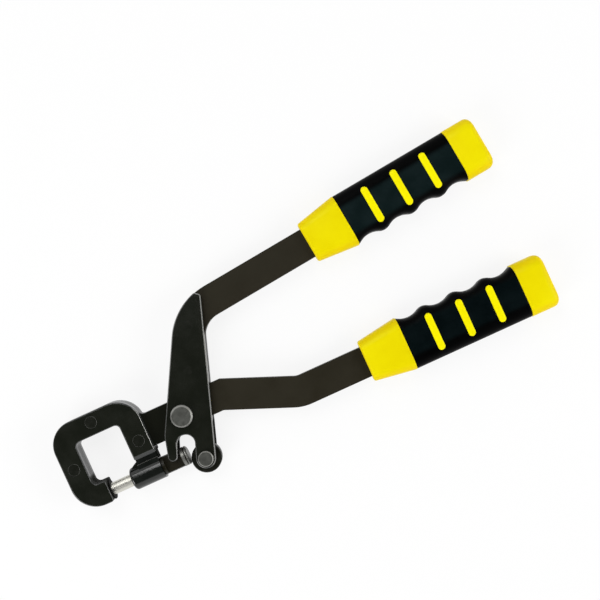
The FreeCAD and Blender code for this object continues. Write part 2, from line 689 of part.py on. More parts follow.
def grip_stripes():
    """Six round-ended ribs, three on each face, one at each crest of the finger side."""
    half = STRIPE_WIDTH / 2
    straight = (STRIPE_LENGTH - STRIPE_WIDTH) / 2
    whole = grip_length(FERRULE_LENGTH, SLEEVE_LENGTH, GRIP_WIDTH, GRIP_THICKNESS, GRIP_EDGE_RADIUS)
    ribs = []
    for x in crest_places():
        rib = Part.makeBox(
            STRIPE_WIDTH, 2 * straight, GRIP_THICKNESS, at(x - half, -straight, -GRIP_THICKNESS / 2)
        )
        for y in (-straight, straight):
            end = Part.makeCylinder(half, GRIP_THICKNESS, at(x, y, -GRIP_THICKNESS / 2), at(0, 0, 1))
            rib = rib.fuse(end)
        ribs.append(rib.removeSplitter().common(whole))
    return ribs


def grip_tube():
    """The core under the sleeve, a little longer than the sleeve so that it joins ferrule and cap."""
    width = GRIP_WIDTH - 2 * SLEEVE_WALL
    thickness = GRIP_THICKNESS - 2 * SLEEVE_WALL
    radius = GRIP_EDGE_RADIUS - SLEEVE_WALL
    return grip_length(FERRULE_LENGTH - 1, SLEEVE_LENGTH + 2, width, thickness, radius)


def grip_core():
    """Ferrule, core, ribs and cap moulded in one, with the slot for the steel bar."""
    ferrule = Part.makeLoft([
        grip_section(0, FERRULE_FRONT_WIDTH, FERRULE_FRONT_THICKNESS, FERRULE_FRONT_RADIUS),
        grip_section(FERRULE_LENGTH, GRIP_WIDTH, GRIP_THICKNESS, GRIP_EDGE_RADIUS),
    ], True, True)
    cap_start = FERRULE_LENGTH + SLEEVE_LENGTH
    cap = grip_length(cap_start, CAP_LENGTH, GRIP_WIDTH, GRIP_THICKNESS, GRIP_EDGE_RADIUS)
    rim = [edge for edge in cap.Edges if all(abs(v.X - GRIP_LENGTH) < 1e-6 for v in edge.Vertexes)]
    cap = cap.makeFillet(CAP_END_RADIUS, rim)
    core = ferrule.multiFuse([grip_tube(), cap] + grip_stripes()).removeSplitter()
    slot = Part.makeBox(
        BAR_IN_GRIP + 2, BAR_WIDTH + 2 * SEAT_GAP, bar_slot_thickness(),
        at(-1, -BAR_WIDTH / 2 - SEAT_GAP, -bar_slot_thickness() / 2),
    )
    return core.cut(slot)


def bar_slot_thickness():
    return 2 * (HEAD_INNER + SEAT_GAP)


def finger_troughs():
    """What the finger side loses: tangent crest and trough arcs, closed well outside the grip."""
    centres_apart = (CREST_PITCH**2 / 4 + TROUGH_DEPTH**2) / (2 * TROUGH_DEPTH)
    crest_radius = centres_apart - TROUGH_RADIUS
    top = GRIP_WIDTH / 2
    first = FIRST_CREST - CREST_PITCH
    edges = []
    for index in range(RIBS + 1):
        crest = at(first + CREST_PITCH * index, top - crest_radius)
        middle = at(crest.x + CREST_PITCH / 2, top - TROUGH_DEPTH + TROUGH_RADIUS)
        crest_next = at(crest.x + CREST_PITCH, crest.y)
        way = (middle - crest).normalize()
        way_back = (middle - crest_next).normalize()
        falls, rises = crest + way * crest_radius, crest_next + way_back * crest_radius
        lean = (way + at(0, 1)).normalize()
        lean_back = (way_back + at(0, 1)).normalize()
        peak, next_peak = crest + at(0, crest_radius), crest_next + at(0, crest_radius)
        edges.append(Part.Arc(peak, crest + lean * crest_radius, falls).toShape())
        edges.append(Part.Arc(falls, middle - at(0, TROUGH_RADIUS), rises).toShape())
        edges.append(Part.Arc(rises, crest_next + lean_back * crest_radius, next_peak).toShape())
    start, end = edges[0].Vertexes[0].Point, next_peak
    outside = [end, end + at(0, 10), start + at(0, 10), start]
    edges += [Part.LineSegment(a, b).toShape() for a, b in zip(outside, outside[1:])]
    face = Part.Face(Part.Wire(edges))
    face.translate(at(0, 0, -GRIP_THICKNESS))
    return face.extrude(at(0, 0, 2 * GRIP_THICKNESS))


def grip_sleeve():
    """Soft sleeve over the core between ferrule and cap, open where the ribs come through."""
    sleeve = grip_length(
        FERRULE_LENGTH, SLEEVE_LENGTH, GRIP_WIDTH - 2 * SLEEVE_RECESS,
        GRIP_THICKNESS - 2 * SLEEVE_RECESS, GRIP_EDGE_RADIUS,
    )
    return sleeve.cut(finger_troughs()).cut(grip_tube()).cut(Part.makeCompound(grip_stripes()))


def on_lower_handle(piece):
    placed = piece.copy()
    placed.translate(at(LOWER_GRIP_X, LOWER_GRIP_Y, MID_Z))
    return placed


def on_upper_handle(piece):
    """The same grip rolled half a turn, so that both finger sides face each other."""
    placed = piece.copy()
    placed.rotate(at(0, 0, 0), at(1, 0, 0), 180)
    placed.rotate(at(0, 0, 0), at(0, 0, 1), UPPER_BAR_ANGLE)
    placed.translate(at(UPPER_GRIP_X, UPPER_GRIP_Y, MID_Z))
    return placed


def make_parts():
    cheek, plate = jaw_cheek(), head_plate()
    core, sleeve = grip_core(), grip_sleeve()
    return {
        "frame_plate": frame_plate(),
        "jaw_cheek_front": cheek,
        "jaw_cheek_rear": other_side(cheek),
        "jaw_rivets": jaw_rivets(),
        "guide_barrel": guide_barrel(),
        "die_button": die_button(),
        "die_screw": die_screw(),
        "lower_grip_core": on_lower_handle(core),
        "lower_grip_sleeve": on_lower_handle(sleeve),
        "plunger": plunger(),
        "punch": punch(),
        "punch_cross_pin": punch_cross_pin(),
        "head_plate_front": plate,
        "head_plate_rear": other_side(plate),
        "lever_bar": lever_bar(),
        "head_rivets": head_rivets(),
        "pivot_rivet": pivot_rivet(),
        "pivot_washers": pivot_washers(),
        "roller_pin": roller_pin(),
        "roller": roller(),
        "roller_bush": roller_bush(),
        "upper_grip_core": on_upper_handle(core),
        "upper_grip_sleeve": on_upper_handle(sleeve),
    }


os.makedirs("parts", exist_ok=True)
for name, shape in make_parts().items():
    shape.exportStep(f"parts/{name}.step")
    print(f"{name}: {len(shape.Solids)} solid(s), valid {shape.isValid()}, {shape.Volume / 1000:.2f} cm3")
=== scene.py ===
import math

import bmesh
import bpy
from mathutils import Euler, Matrix, Vector


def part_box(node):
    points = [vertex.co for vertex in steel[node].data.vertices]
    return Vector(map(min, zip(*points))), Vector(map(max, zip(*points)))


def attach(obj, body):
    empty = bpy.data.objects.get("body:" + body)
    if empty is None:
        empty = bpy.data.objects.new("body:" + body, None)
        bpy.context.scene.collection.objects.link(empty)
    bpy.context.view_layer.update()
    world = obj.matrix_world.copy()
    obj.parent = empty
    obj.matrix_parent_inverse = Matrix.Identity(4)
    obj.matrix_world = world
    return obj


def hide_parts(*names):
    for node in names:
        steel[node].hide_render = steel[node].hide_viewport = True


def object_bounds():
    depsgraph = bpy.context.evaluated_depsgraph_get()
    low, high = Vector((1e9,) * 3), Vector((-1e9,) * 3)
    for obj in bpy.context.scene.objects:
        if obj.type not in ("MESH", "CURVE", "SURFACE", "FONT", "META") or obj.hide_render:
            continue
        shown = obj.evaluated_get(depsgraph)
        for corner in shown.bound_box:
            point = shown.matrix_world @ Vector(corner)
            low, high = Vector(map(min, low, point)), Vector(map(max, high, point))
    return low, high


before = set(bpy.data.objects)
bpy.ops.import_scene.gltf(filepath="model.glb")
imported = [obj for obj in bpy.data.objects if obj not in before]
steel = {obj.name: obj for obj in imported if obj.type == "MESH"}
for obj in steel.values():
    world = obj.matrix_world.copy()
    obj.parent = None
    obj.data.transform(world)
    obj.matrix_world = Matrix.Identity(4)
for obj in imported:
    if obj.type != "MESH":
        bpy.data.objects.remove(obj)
cad_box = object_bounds()


# ---- Handle bars ----
# The frame plate and the lever bar are flat strip steel, sawn and bent, with a matte brown-black phosphate
# coat. The coat is brown along the straight bars and blacker on the neck, whose walls and bevels carry a
# lighter painted sheen.

def add_node(tree, kind, inputs=None, **settings):
    """Adds a node, sets its properties, and gives each input a value or a link."""
    node = tree.nodes.new("ShaderNode" + kind)
    for name, value in settings.items():
        setattr(node, name, value)
    for name, value in (inputs or {}).items():
        if isinstance(value, bpy.types.NodeSocket):
            tree.links.new(value, node.inputs[name])
        else:
            node.inputs[name].default_value = value
    return node


def object_place(tree):
    return add_node(tree, "TexCoord").outputs["Object"]


def place_along(tree, axis):
    """How far along X, Y or Z each point of the surface lies."""
    return add_node(tree, "SeparateXYZ", {"Vector": object_place(tree)}).outputs[axis]


def scaled(tree, value, low, high):
    """Maps a value from 0..1 to low..high."""
    ends = {"To Min": low, "To Max": high}
    return add_node(tree, "MapRange", {"Value": value, **ends}).outputs["Result"]


def band(tree, value, start, end):
    """0 below start, 1 above end, and smooth between them."""
    ends = {"Value": value, "From Min": start, "From Max": end}
    return add_node(tree, "MapRange", ends, interpolation_type="SMOOTHSTEP").outputs["Result"]


def reckon(tree, operation, *values):
    """One step of arithmetic on values or links."""
    return add_node(tree, "Math", dict(enumerate(values)), operation=operation).outputs[0]


def times(tree, first, second):
    return reckon(tree, "MULTIPLY", first, second)


def surface_lean(tree):
    """Which way the surface faces along each axis, and how squarely it faces up or down."""
    normal = add_node(tree, "NewGeometry").outputs["Normal"]
    lean = add_node(tree, "SeparateXYZ", {"Vector": normal}).outputs
    return lean, reckon(tree, "ABSOLUTE", lean["Z"])


def mixed(tree, share, first, second):
    """Two colours, mixed by share."""
    node = add_node(tree, "Mix", {"Factor": share}, data_type="RGBA")
    for index, colour in ((6, first), (7, second)):
        if isinstance(colour, bpy.types.NodeSocket):
            tree.links.new(colour, node.inputs[index])
        else:
            node.inputs[index].default_value = (*colour, 1)
    return node.outputs[2]


def new_group(name, inputs, outputs):
    """A node group with named sockets. Returns the group, its input node and its output node."""
    group = bpy.data.node_groups.new(name, "ShaderNodeTree")
    for label, value in inputs.items():
        socket = group.interface.new_socket(label, in_out="INPUT", socket_type="NodeSocketFloat")
        socket.default_value = value
    for label in outputs:
        group.interface.new_socket(label, in_out="OUTPUT", socket_type="NodeSocketFloat")
    return group, group.nodes.new("NodeGroupInput"), group.nodes.new("NodeGroupOutput")


def make_surface_skin():
    """Slow blotches of tone, and the fine tooth of the surface as a height."""
    given_values = {"Blotch scale": 60.0, "Tooth scale": 2500.0}
    group, given, made = new_group("surface skin", given_values, ("Tone", "Tooth"))
    place = object_place(group)
    blotch_values = {"Vector": place, "Scale": given.outputs["Blotch scale"], "Detail": 5.0}
    blotch = add_node(group, "TexNoise", {**blotch_values, "Roughness": 0.6})
    tooth_values = {"Vector": place, "Scale": given.outputs["Tooth scale"], "Detail": 2.0}
    tooth = add_node(group, "TexNoise", tooth_values)
    group.links.new(band(group, blotch.outputs["Fac"], 0.3, 0.7), made.inputs["Tone"])
    group.links.new(tooth.outputs["Fac"], made.inputs["Tooth"])
    return group


def make_edge_wear_and_sheen():
    """How bare a plate's bevels are rubbed, mostly where they face the handles, and where a painted sheen
    goes.

    The rubbed bevels are wear and a painted highlight line at once. The painted sheen is lighter than the
    coat and lies on every bevel and on the sheared walls, but for those round the punch that face the
    handles or the lever, which are matte and keep their own colour.
    """
    given_values = {
        "Patch scale": 220.0,
        "Cover": 0.5,
        "Far side": 0.0,
        "Lever side": 0.0,
        "Matte line": -0.0125,
    }
    group, given, made = new_group("edge wear and sheen", given_values, ("Bare and highlight", "Thin", "Matte"))
    lean, upright = surface_lean(group)
    off_bevel = reckon(group, "ABSOLUTE", reckon(group, "SUBTRACT", upright, math.sqrt(0.5)))
    facing = band(group, lean["X"], 0.1, 0.4)
    far = times(group, band(group, lean["X"], -0.25, -0.5), given.outputs["Far side"])
    lever = times(group, band(group, lean["Y"], 0.4, 0.6), given.outputs["Lever side"])
    for side in (far, lever):
        facing = reckon(group, "ADD", facing, side)
    on_bevel = times(group, band(group, off_bevel, 0.2, 0.12), facing)
    patch_values = {"Vector": object_place(group), "Scale": given.outputs["Patch scale"], "Detail": 3.0}
    patches = add_node(group, "TexNoise", patch_values)
    low = reckon(group, "SUBTRACT", 0.8, given.outputs["Cover"])
    rubbed = band(group, patches.outputs["Fac"], low, reckon(group, "ADD", low, 0.15))
    # Bare steel on these bevels: wear and a painted highlight line.
    group.links.new(times(group, on_bevel, rubbed), made.inputs["Bare and highlight"])
    matte_line = given.outputs["Matte line"]
    not_matte_above = reckon(group, "ADD", matte_line, 0.003)
    below_line = band(group, place_along(group, "Y"), not_matte_above, matte_line)
    towards_handles = band(group, reckon(group, "ADD", lean["X"], lean["Y"]), 0.2, 0.6)
    matte_walls = times(group, times(group, band(group, upright, 0.5, 0.3), below_line), towards_handles)
    group.links.new(matte_walls, made.inputs["Matte"])
    not_matte = reckon(group, "SUBTRACT", 1.0, matte_walls)
    # A lighter painted sheen on walls and bevels, kept off the matte walls.
    group.links.new(times(group, band(group, upright, 0.93, 0.8), not_matte), made.inputs["Thin"])
    return group


surface_skin = make_surface_skin()
edge_wear_and_sheen = make_edge_wear_and_sheen()


def new_finish(name, **values):
    """An empty finish with its own Principled shader. Returns the material, its tree and the shader."""
    material = bpy.data.materials.new(name)
    material.use_nodes = True
    shader = material.node_tree.nodes["Principled BSDF"]
    for label, value in values.items():
        shader.inputs[label.replace("_", " ")].default_value = value
    return material, material.node_tree, shader


def skin_on(tree, shader, blotch_scale, tooth_scale, depth, rough=None):
    """Places the surface skin and returns its tone. Its bump goes to the shader, and so does a roughness."""
    skin = add_node(tree, "Group", node_tree=surface_skin)
    skin.inputs["Blotch scale"].default_value = blotch_scale
    skin.inputs["Tooth scale"].default_value = tooth_scale
    bump = add_node(tree, "Bump", {"Height": skin.outputs["Tooth"], "Strength": 0.6, "Distance": depth})
    tree.links.new(bump.outputs["Normal"], shader.inputs["Normal"])
    if rough:
        tree.links.new(scaled(tree, skin.outputs["Tone"], *rough), shader.inputs["Roughness"])
    return skin.outputs["Tone"]


def wear_and_sheen_at(tree, patch_scale, cover, far_side, lever_side=0.0):
    """Places the edge wear and sheen; returns bare steel with painted highlight, painted sheen and matte
    walls.
    """
    edge = add_node(tree, "Group", node_tree=edge_wear_and_sheen)
    edge.inputs["Patch scale"].default_value = patch_scale
    edge.inputs["Cover"].default_value = cover
    edge.inputs["Far side"].default_value = far_side
    edge.inputs["Lever side"].default_value = lever_side
    return edge.outputs["Bare and highlight"], edge.outputs["Thin"], edge.outputs["Matte"]


def wear(nodes, finish):
    for name in nodes:
        steel[name].material_slots[0].material = finish


neck_end = -0.004
bar_start = 0.02


def make_bar_phosphate():
    finish, tree, shader = new_finish("bar phosphate", Specular_IOR_Level=0.16)
    tone = skin_on(tree, shader, 45.0, 1800.0, 0.00006)
    brown = mixed(tree, tone, (0.0148, 0.0122, 0.0058), (0.0176, 0.0148, 0.0074))
    past_neck = band(tree, place_along(tree, "X"), neck_end, bar_start)
    painted_sheen, matte = wear_and_sheen_at(tree, 160.0, 0.0, 0.0)[1:]
    # The neck's walls and bevels get a lighter painted sheen.
    black = mixed(tree, painted_sheen, (0.0070, 0.0078, 0.0048), (0.03, 0.031, 0.03))
    tree.links.new(mixed(tree, past_neck, black, brown), shader.inputs["Base Color"])
    neck_rough = scaled(tree, matte, 0.24, 0.9)
    rough = scaled(tree, past_neck, neck_rough, scaled(tree, tone, 0.46, 0.6))
    tree.links.new(rough, shader.inputs["Roughness"])
    return finish


wear(["frame_plate", "lever_bar"], make_bar_phosphate())


# ---- Jaw cheeks, head plates and their flush rivets ----
# Stamped plates, bevelled along the outline and blackened. The black is satin and slightly olive. Bevels
# towards the handles show long bright lines of bare steel, wear and a painted highlight at once, and all
# bevels and sheared walls carry a lighter painted sheen.

wear_and_highlight_fade = 0.001


def make_black_oxide(name, far_side, wear_and_highlight_from, bare_steel_and_highlight):
    """Satin black with a painted sheen; bevels bare as wear and painted highlight from one place to the
    handles.
    """
    finish, tree, shader = new_finish(name, Specular_IOR_Level=0.5)
    tone = skin_on(tree, shader, 70.0, 2600.0, 0.00002)
    black = mixed(tree, tone, (0.0048, 0.0060, 0.0032), (0.0070, 0.0082, 0.0048))
    bare_and_highlight, painted_sheen, matte = wear_and_sheen_at(tree, 110.0, 0.55, far_side)
    # A lighter painted sheen on walls and bevels.
    black = mixed(tree, painted_sheen, black, (0.034, 0.036, 0.035))
    tree.links.new(scaled(tree, matte, scaled(tree, tone, 0.19, 0.25), 0.9), shader.inputs["Roughness"])
    # From here towards the handles the bevels are bare steel: wear and a painted highlight line.
    bare_and_highlight = times(tree, bare_and_highlight, band(tree, place_along(tree, "X"), wear_and_highlight_from, wear_and_highlight_from + wear_and_highlight_fade))
    tree.links.new(mixed(tree, bare_and_highlight, black, bare_steel_and_highlight), shader.inputs["Base Color"])
    tree.links.new(scaled(tree, bare_and_highlight, 0.0, 0.9), shader.inputs["Metallic"])
    return finish


cheek_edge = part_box("jaw_cheek_front")[1].x
cheek_black = make_black_oxide("cheek black", 0.0, cheek_edge - 0.0025, (0.36, 0.36, 0.34))
head_black = make_black_oxide("head plate black", 0.7, cheek_edge, (0.24, 0.24, 0.23))
wear(["jaw_cheek_front", "jaw_cheek_rear"], cheek_black)
wear(["head_plate_front", "head_plate_rear"], head_black)


def make_rivet_black():
    finish, tree, shader = new_finish("flush rivet", Specular_IOR_Level=0.5)
    tone = skin_on(tree, shader, 300.0, 3000.0, 0.00002, (0.2, 0.26))
    black = mixed(tree, tone, (0.0052, 0.0062, 0.0036), (0.0074, 0.0084, 0.0052))
    # Bare steel on the bevels is wear and a painted highlight; the rim gets a lighter painted highlight.
    bare_and_highlight, painted_rim_highlight = wear_and_sheen_at(tree, 300.0, 0.5, 1.0)[:2]
    black = mixed(tree, painted_rim_highlight, black, (0.05, 0.051, 0.046))
    tree.links.new(mixed(tree, bare_and_highlight, black, (0.09, 0.09, 0.082)), shader.inputs["Base Color"])
    return finish


wear(["jaw_rivets", "head_rivets"], make_rivet_black())


# ---- Guide barrel and die ----
# The barrel is turned and enamelled in gloss black. The die is hardened steel, blackened all over. Its grub
# screw, the punch's cross pin and the pivot's washers are plain dark steel.

punch_low, punch_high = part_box("punch")
punch_line = (punch_low.y + punch_high.y) / 2
saddle_start = punch_line + 0.006
saddle_fade = 0.0003


def make_gloss_black():
    """Gloss black enamel, with bare steel along the saddle's bevel that is wear and a painted highlight."""
    finish, tree, shader = new_finish("gloss black", Specular_IOR_Level=0.58)
    tone = skin_on(tree, shader, 120.0, 900.0, 0.00002, (0.13, 0.18))
    black = mixed(tree, tone, (0.0036, 0.0046, 0.0036), (0.0060, 0.0074, 0.0062))
    # Bare steel along the saddle's bevel: wear and a painted highlight line.
    bare_and_highlight = wear_and_sheen_at(tree, 260.0, 0.5, 0.0, 1.0)[0]
    bare_and_highlight = times(tree, bare_and_highlight, band(tree, place_along(tree, "Y"), saddle_start, saddle_start + saddle_fade))
    tree.links.new(mixed(tree, bare_and_highlight, black, (0.085, 0.085, 0.078)), shader.inputs["Base Color"])
    return finish


def make_hard_black():
    finish, tree, shader = new_finish("hardened black", Specular_IOR_Level=0.02)
    tone = skin_on(tree, shader, 400.0, 3000.0, 0.00003, (0.4, 0.5))
    black = mixed(tree, tone, (0.002, 0.002, 0.0015), (0.004, 0.004, 0.0035))
    tree.links.new(black, shader.inputs["Base Color"])
    return finish


wear(["guide_barrel"], make_gloss_black())
wear(["die_button"], make_hard_black())


def make_dark_steel():
    finish, tree, shader = new_finish("dark steel", Metallic=1.0)
    tone = skin_on(tree, shader, 500.0, 3000.0, 0.00003, (0.3, 0.42))
    tree.links.new(mixed(tree, tone, (0.13, 0.13, 0.13), (0.22, 0.22, 0.21)), shader.inputs["Base Color"])
    return finish


wear(["die_screw", "punch_cross_pin", "pivot_washers"], make_dark_steel())


# ---- Plunger and punch ----
# The plunger is turned steel, oiled brown-black up to its head, which the roller and prongs have rubbed
# grey. The punch is ground bright, with fine rings left by the wheel.

def turned_rings(tree, rings_per_metre, stretch):
    """Fine rings round the punch line, which lies along X."""
    squeeze = {"Vector": object_place(tree), "Scale": (rings_per_metre, stretch, stretch)}
    place = add_node(tree, "Mapping", squeeze).outputs["Vector"]
    rings = add_node(tree, "TexNoise", {"Vector": place, "Scale": 1.0, "Detail": 3.0})
    return rings.outputs["Fac"]


def make_ground_punch():
    finish, tree, shader = new_finish("ground punch", Metallic=1.0)
    rings = turned_rings(tree, 1800.0, 8.0)
    tree.links.new(mixed(tree, rings, (0.6, 0.59, 0.53), (0.74, 0.73, 0.67)), shader.inputs["Base Color"])
    tree.links.new(scaled(tree, rings, 0.34, 0.42), shader.inputs["Roughness"])
    bump = add_node(tree, "Bump", {"Height": rings, "Strength": 0.1, "Distance": 0.00001})
    tree.links.new(bump.outputs["Normal"], shader.inputs["Normal"])
    return finish


plunger_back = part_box("plunger")[1].x
groove_end = plunger_back - 0.0014
groove_start = groove_end - 0.0008
groove_fade = 0.0001
rubbed_from = plunger_back - 0.004
rubbed_fade = 0.0003


def make_turned_plunger():
    """Oiled up to the head, rubbed grey there, and brown-black again in the head's groove."""
    finish, tree, shader = new_finish("turned plunger", Specular_IOR_Level=0.25)
    rings = turned_rings(tree, 2600.0, 150.0)
    along = place_along(tree, "X")
    head = band(tree, along, rubbed_from - rubbed_fade, rubbed_from + rubbed_fade)
    past_start = band(tree, along, groove_start - groove_fade, groove_start + groove_fade)
    past_end = band(tree, along, groove_end - groove_fade, groove_end + groove_fade)
    in_groove = reckon(tree, "SUBTRACT", past_start, past_end)
    head = times(tree, head, reckon(tree, "SUBTRACT", 1.0, in_groove))
    oiled = mixed(tree, rings, (0.005, 0.0042, 0.0012), (0.013, 0.0108, 0.0042))
    rubbed = mixed(tree, rings, (0.12, 0.12, 0.11), (0.29, 0.29, 0.27))
    tree.links.new(mixed(tree, head, oiled, rubbed), shader.inputs["Base Color"])
    tree.links.new(scaled(tree, head, 0.0, 0.8), shader.inputs["Metallic"])
    tree.links.new(scaled(tree, rings, 0.32, 0.46), shader.inputs["Roughness"])
    bump = add_node(tree, "Bump", {"Height": rings, "Strength": 0.5, "Distance": 0.00003})
    tree.links.new(bump.outputs["Normal"], shader.inputs["Normal"])
    return finish


wear(["punch"], make_ground_punch())
wear(["plunger"], make_turned_plunger())


# ---- Pivot rivet, roller pin and roller ----
# The two headed pins are bare steel gone dull grey, with turned faces. The roller is blackened and runs on
# a sintered bush.

def make_dull_head():
    finish, tree, shader = new_finish("dull pin head", Metallic=1.0)
    tone = skin_on(tree, shader, 260.0, 2400.0, 0.00004, (0.38, 0.44))
    grey = mixed(tree, tone, (0.148, 0.152, 0.136), (0.172, 0.176, 0.16))
    painted_rim_highlight = wear_and_sheen_at(tree, 260.0, 0.5, 1.0)[1]
    # A lighter painted highlight on the heads' rims.
    tree.links.new(mixed(tree, painted_rim_highlight, grey, (0.31, 0.31, 0.29)), shader.inputs["Base Color"])
    return finish


def make_sintered_bush():
    finish, tree, shader = new_finish("sintered bush", Metallic=1.0)
    tone = skin_on(tree, shader, 900.0, 5000.0, 0.00006, (0.45, 0.6))
    tree.links.new(mixed(tree, tone, (0.3, 0.25, 0.16), (0.42, 0.36, 0.25)), shader.inputs["Base Color"])
    return finish


def make_roller_black():
    finish, tree, shader = new_finish("roller black", Specular_IOR_Level=0.2)
    tone = skin_on(tree, shader, 350.0, 2600.0, 0.00004, (0.3, 0.42))
    black = mixed(tree, tone, (0.0045, 0.0052, 0.0026), (0.0085, 0.0092, 0.0056))
    tree.links.new(black, shader.inputs["Base Color"])
    return finish


wear(["pivot_rivet", "roller_pin"], make_dull_head())
wear(["roller"], make_roller_black())
wear(["roller_bush"], make_sintered_bush())


# ---- Grips ----
# Each grip is moulded in two shots: a hard yellow core with a tapered ferrule, six ribs and an end cap, and
# a soft black sleeve over it with four finger troughs. Both are drawn along +X from the ferrule's front.

core_low, core_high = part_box("lower_grip_core")
sleeve_low, sleeve_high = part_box("lower_grip_sleeve")
grip_length = core_high.x - core_low.x
grip_width = core_high.y - core_low.y
grip_thickness = core_high.z - core_low.z
sleeve_start = sleeve_low.x - core_low.x
sleeve_end = sleeve_high.x - core_low.x
grip_round = 0.0075
joint_ease = 0.0004


def blank(name, start, end, width, thickness):
    """A square bar from start to end along X, open in edit mode."""
    bpy.ops.object.select_all(action="DESELECT")
    bpy.ops.mesh.primitive_cube_add(size=1, location=((start + end) / 2, 0, 0))
    piece = bpy.context.object
    piece.name = piece.data.name = name
    piece.scale = (end - start, width, thickness)
    bpy.ops.object.transform_apply()
    bpy.ops.object.mode_set(mode="EDIT")
    return piece


def pick(piece, kind, passes):
    """Selects only the verts, edges or faces that pass a test."""
    bpy.context.tool_settings.mesh_select_mode = [kind == each for each in ("verts", "edges", "faces")]
    bpy.ops.mesh.select_all(action="DESELECT")
    shape = bmesh.from_edit_mesh(piece.data)
    for element in getattr(shape, kind):
        element.select = passes(element)
    shape.select_flush_mode()
    bmesh.update_edit_mesh(piece.data)


def runs_along(edge):
    """True for an edge along X."""
    way = edge.verts[1].co - edge.verts[0].co
    return abs(way.x) > 0.9 * way.length


def lies_at(x):
    """A test for edges whose ends both lie at x."""
    return lambda edge: all(abs(vert.co.x - x) < 1e-6 for vert in edge.verts)


def round_long_edges(piece, radius):
    pick(piece, "edges", runs_along)
    bpy.ops.mesh.bevel(offset=radius, segments=9, affect="EDGES")


def round_rim(piece, x, radius, segments):
    pick(piece, "edges", lies_at(x))
    bpy.ops.mesh.bevel(offset=radius, segments=segments, affect="EDGES")


def close_edit(piece, crease=35):
    bpy.ops.object.mode_set(mode="OBJECT")
    bpy.ops.object.shade_smooth_by_angle(angle=math.radians(crease))


def cut_with(piece, cutter, operation="DIFFERENCE"):
    """Cuts a piece with another, which is then thrown away."""
    bpy.ops.object.select_all(action="DESELECT")
    piece.select_set(True)
    bpy.context.view_layer.objects.active = piece
    cut = piece.modifiers.new("cut", "BOOLEAN")
    cut.object, cut.operation, cut.solver = cutter, operation, "EXACT"
    bpy.ops.object.modifier_apply(modifier="cut")
    bpy.data.objects.remove(cutter)


ferrule_taper = (1, 0.764, 0.75)
ferrule_rim = 0.0012
bar_slot_width = 0.0195
slot_play = 0.0001


def make_ferrule():
    """Tapered front with a soft rim and the slot that the bar goes into."""
    piece = blank("ferrule", 0, sleeve_start, grip_width, grip_thickness)
    round_long_edges(piece, grip_round)
    pick(piece, "verts", lambda vert: vert.co.x < 1e-6)
    bpy.ops.transform.resize(value=ferrule_taper)
    round_rim(piece, 0, ferrule_rim, 4)
    round_rim(piece, sleeve_start, joint_ease, 2)
    close_edit(piece)
    bar_low, bar_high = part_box("lever_bar")
    slot_height = bar_high.z - bar_low.z + slot_play
    slot = blank("slot", -0.001, sleeve_start / 2, bar_slot_width, slot_height)
    bpy.ops.object.mode_set(mode="OBJECT")
    cut_with(piece, slot)
    return piece


cap_rim = 0.0045


def make_end_cap():
    piece = blank("end_cap", sleeve_end, grip_length, grip_width, grip_thickness)
    round_long_edges(piece, grip_round)
    round_rim(piece, grip_length, cap_rim, 8)
    round_rim(piece, sleeve_end, joint_ease, 2)
    close_edit(piece)
    return piece


crest_overhang = 0.0019
rib_count = 3
crest_pitch = (sleeve_end - sleeve_start + 2 * crest_overhang) / (rib_count + 1)
crests = [sleeve_start - crest_overhang + crest_pitch * index for index in range(rib_count + 2)]
trough_depth = 0.00275
trough_radius = 0.0135
crest_radius = (crest_pitch**2 / 4 + trough_depth**2) / (2 * trough_depth) - trough_radius


def trough_at(x):
    """How far the finger side falls back at x: tangent crest and trough arcs."""
    from_crest = min(abs(x - crest) for crest in crests)
    half = crest_pitch / 2
    if from_crest < half * crest_radius / (crest_radius + trough_radius):
        return crest_radius - math.sqrt(crest_radius**2 - from_crest**2)
    return trough_depth - trough_radius + math.sqrt(trough_radius**2 - (half - from_crest) ** 2)


rib_width = 0.0045
rib_length = 0.0244
rib_ease = 0.0004
rib_play = 0.0001
sleeve_recess = 0.0003
sleeve_cuts = 79


def make_ribs(name, radius):
    """Three round-ended bars through the grip, as wide as twice the radius."""
    bpy.ops.object.select_all(action="DESELECT")
    bars = []
    for crest in crests[1:-1]:
        bpy.ops.mesh.primitive_cylinder_add(
            vertices=48, radius=radius, depth=grip_thickness * 1.2, location=(crest, 0, 0)
        )
        bar = bpy.context.object
        bpy.ops.object.mode_set(mode="EDIT")
        for side in (-1, 1):
            pick(bar, "verts", lambda vert: vert.co.y * side > 1e-6)
            bpy.ops.transform.translate(value=(0, side * (rib_length - rib_width) / 2, 0))
        bpy.ops.object.mode_set(mode="OBJECT")
        bars.append(bar)
    for bar in bars:
        bar.select_set(True)
    bpy.ops.object.join()
    ribs = bpy.context.object
    ribs.name = ribs.data.name = name
    bpy.ops.object.transform_apply()
    return ribs


def make_sleeve():
    """Soft sleeve: the finger side is pulled in trough by trough, and the ribs' openings are cut."""
    low, high = sleeve_start, sleeve_end
    piece = blank("sleeve", low, high, grip_width - 2 * sleeve_recess, grip_thickness - 2 * sleeve_recess)
    round_long_edges(piece, grip_round)
    round_rim(piece, low, joint_ease, 2)
    round_rim(piece, high, joint_ease, 2)
    pick(piece, "edges", lambda edge: runs_along(edge) and edge.calc_length() > 0.01)
    bpy.ops.mesh.subdivide(number_cuts=sleeve_cuts)
    places = {round(vert.co.x, 5) for vert in bmesh.from_edit_mesh(piece.data).verts}
    reach = grip_width / 2 - sleeve_recess
    for x in sorted(places):
        pick(piece, "verts", lambda vert: round(vert.co.x, 5) == x and vert.co.y > 0.001)
        share = 1 - trough_at(x) / reach
        bpy.ops.transform.resize(value=(1, share, 1), center_override=(x, 0, 0))
    close_edit(piece)
    cut_with(piece, make_ribs("rib_openings", rib_width / 2 + rib_play))
    across = piece.data.attributes.new("across", "FLOAT", "POINT")
    for vert in piece.data.vertices:
        across.data[vert.index].value = vert.co.y
    return piece


